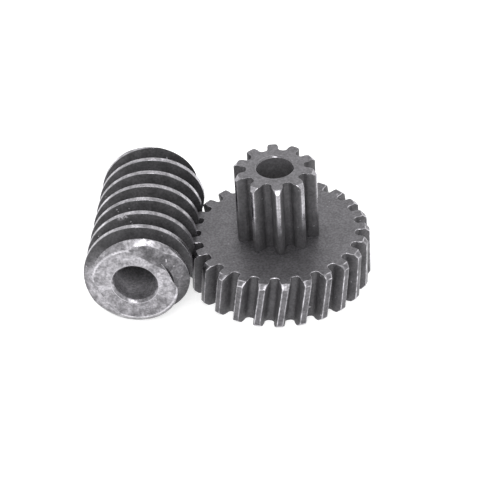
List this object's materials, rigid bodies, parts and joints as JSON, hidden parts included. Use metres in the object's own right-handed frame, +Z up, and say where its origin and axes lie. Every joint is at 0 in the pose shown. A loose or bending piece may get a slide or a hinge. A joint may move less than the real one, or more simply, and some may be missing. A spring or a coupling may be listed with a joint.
{
  "type": "worm gear set",
  "caption": "Steel worm in mesh with a helical worm wheel that carries a spur pinion on a flanged bush.",
  "frame": {"origin": "on the gear axis, in the plane of the wheel's underside, which is also the surface that the set stands on", "axes": "+Z up the gear axis from the wheel to the pinion, +Y along the worm axis, the worm on the -X side"},
  "size_m": [0.0396, 0.0262, 0.0189],
  "materials": {
    "worm_steel": "dark oxide with ground crests and bare machined ends",
    "gear_steel": "dark oxide with burnished tooth tips",
    "pinion_steel": "dark oxide with burnished tooth tips",
    "bush_bronze": "oiled sintered bronze"
  },
  "bodies": {
    "bush": {"flanged_bush": "bush_bronze"},
    "compound_gear": {"helical_wheel": "gear_steel", "spur_pinion": "pinion_steel"},
    "worm": {"worm": "worm_steel"}
  },
  "joints": [
    {"name": "worm_spin", "type": "hinge", "parent": "bush", "child": "worm", "pos_m": [-0.019, -0.001, 0.0075], "axis": [0, 1, 0], "continuous": true},
    {"name": "gear_spin", "type": "hinge", "parent": "bush", "child": "compound_gear", "pos_m": [0, 0, 0], "axis": [0, 0, 1], "continuous": true}
  ],
  "couplings": [
    {"joint": "gear_spin", "follows": "worm_spin", "ratio": 0.08}
  ]
}
